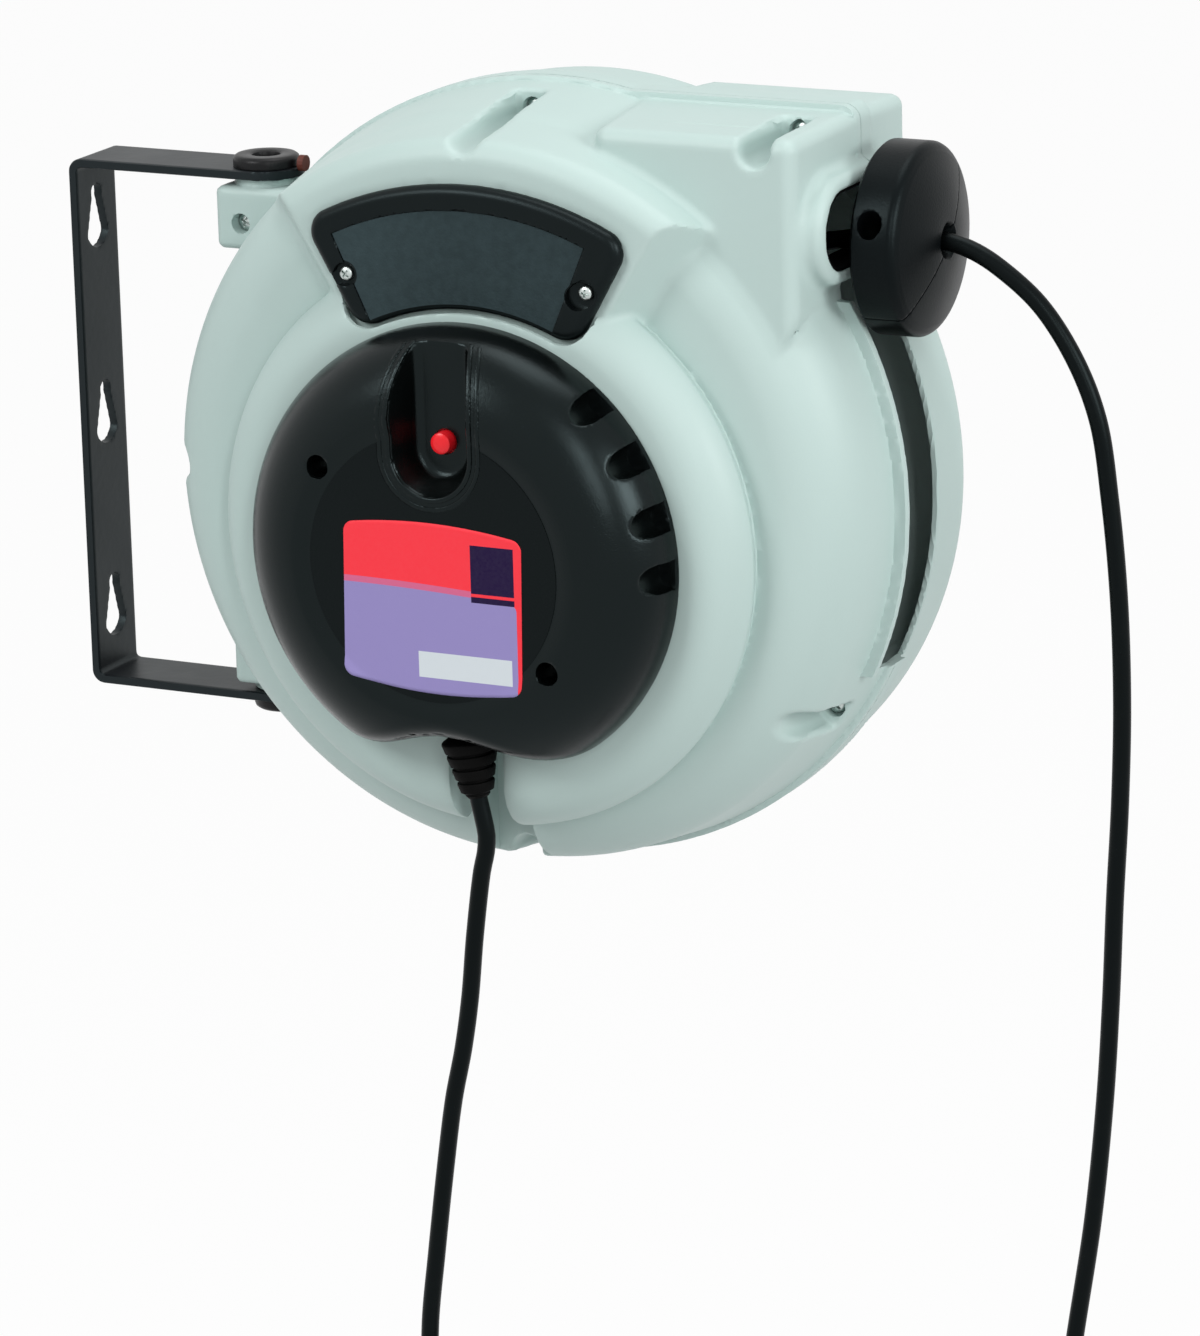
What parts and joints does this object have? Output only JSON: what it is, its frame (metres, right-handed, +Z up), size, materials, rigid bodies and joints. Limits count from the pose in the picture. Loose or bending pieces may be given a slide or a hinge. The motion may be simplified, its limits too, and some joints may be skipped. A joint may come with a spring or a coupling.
{
  "type": "wall-mounted extension cord reel",
  "caption": "Round spring-rewind cord reel on a swivelling wall bracket, with a domed service cover, a sliding cord outlet with a clamped stop, a trailing socket and a supply lead.",
  "frame": {"origin": "on the back face of the bracket's wall plate, on its vertical centre line, between the middle and the lowest keyhole", "axes": "+X out from the wall, +Z up, -Y towards the service cover"},
  "size_m": [0.5494, 0.2123, 0.9226],
  "materials": {
    "casing": "fine moulded texture",
    "black_plastic": "fine moulded texture",
    "bracket": "black powder coat",
    "zinc": "zinc plated",
    "steel": "bright steel",
    "brass": "turned",
    "red_button": "smooth",
    "buffer": "matt",
    "cord": "matt sheath",
    "insulator": "moulded"
  },
  "bodies": {
    "bracket": {"wall_bracket": "bracket", "swivel_pin_top": "black_plastic", "swivel_pin_bottom": "black_plastic", "swivel_buffer": "buffer"},
    "casing": {"front_casing": "casing", "rear_casing": "casing", "connection_cover": "black_plastic", "arc_panel": "black_plastic", "button_spring": "steel", "thermal_cutout": "insulator", "terminal_block": "insulator", "strain_relief": "cord", "brush_holder": "insulator", "brush_1": "brass", "brush_2": "brass", "brush_3": "brass", "main_shaft": "steel", "shaft_nut": "zinc", "mainspring": "steel", "mouth_guide": "black_plastic", "pawl_pin": "steel", "pawl_spring": "steel", "casing_screw_1": "zinc", "casing_screw_2": "zinc", "casing_screw_3": "zinc", "casing_screw_4": "zinc", "casing_screw_5": "zinc", "lug_screw_top": "zinc", "lug_screw_bottom": "zinc", "arc_panel_screw_left": "zinc", "arc_panel_screw_right": "zinc", "cover_screw_1": "zinc", "cover_screw_2": "zinc", "supply_cord": "cord", "supply_hank": "cord", "hank_tie": "black_plastic", "supply_plug": "cord", "plug_pin_1": "zinc", "plug_pin_2": "zinc"},
    "button": {"reset_button": "red_button"},
    "pawl": {"pawl": "steel"},
    "drum": {"drum_front_half": "black_plastic", "drum_rear_half": "black_plastic", "drum_bush_front": "insulator", "drum_bush_rear": "insulator", "winding_core": "cord", "wound_cable": "cord", "ratchet_ring": "steel", "spring_cassette": "steel", "slip_ring_hub": "insulator", "slip_ring_1": "brass", "slip_ring_2": "brass", "slip_ring_3": "brass"},
    "lead": {"feed_cable": "cord", "stop_half_front": "black_plastic", "stop_half_rear": "black_plastic", "stop_screw_1": "zinc", "stop_screw_2": "zinc", "outlet_cord": "cord", "outlet_socket": "cord"}
  },
  "joints": [
    {"name": "swivel", "type": "hinge", "parent": "bracket", "child": "casing", "pos_m": [0.101, 0, 0.05], "axis": [0, 0, 1], "range_deg": [-60, 90]},
    {"name": "reset_press", "type": "slide", "parent": "casing", "child": "button", "axis": [0, 1, 0], "range_m": [0, 0.0025], "stiffness_N_per_m": 400, "deforming": ["button_spring"]},
    {"name": "pawl_swing", "type": "hinge", "parent": "casing", "child": "pawl", "pos_m": [0.18625, -0.047, 0.072], "axis": [0, 1, 0], "range_deg": [0, 9], "stiffness_Nm_per_rad": 0.02},
    {"name": "drum_spin", "type": "hinge", "parent": "casing", "child": "drum", "pos_m": [0.259, 0, 0.03], "axis": [0, 1, 0], "range_deg": [0, 60]},
    {"name": "pay_out", "type": "slide", "parent": "casing", "child": "lead", "axis": [0.9846, 0, 0.1747], "range_m": [0, 0.1156], "stiffness_N_per_m": 150}
  ],
  "couplings": [
    {"joint": "drum_spin", "follows": "pay_out", "rad_per_m": 9.058}
  ]
}
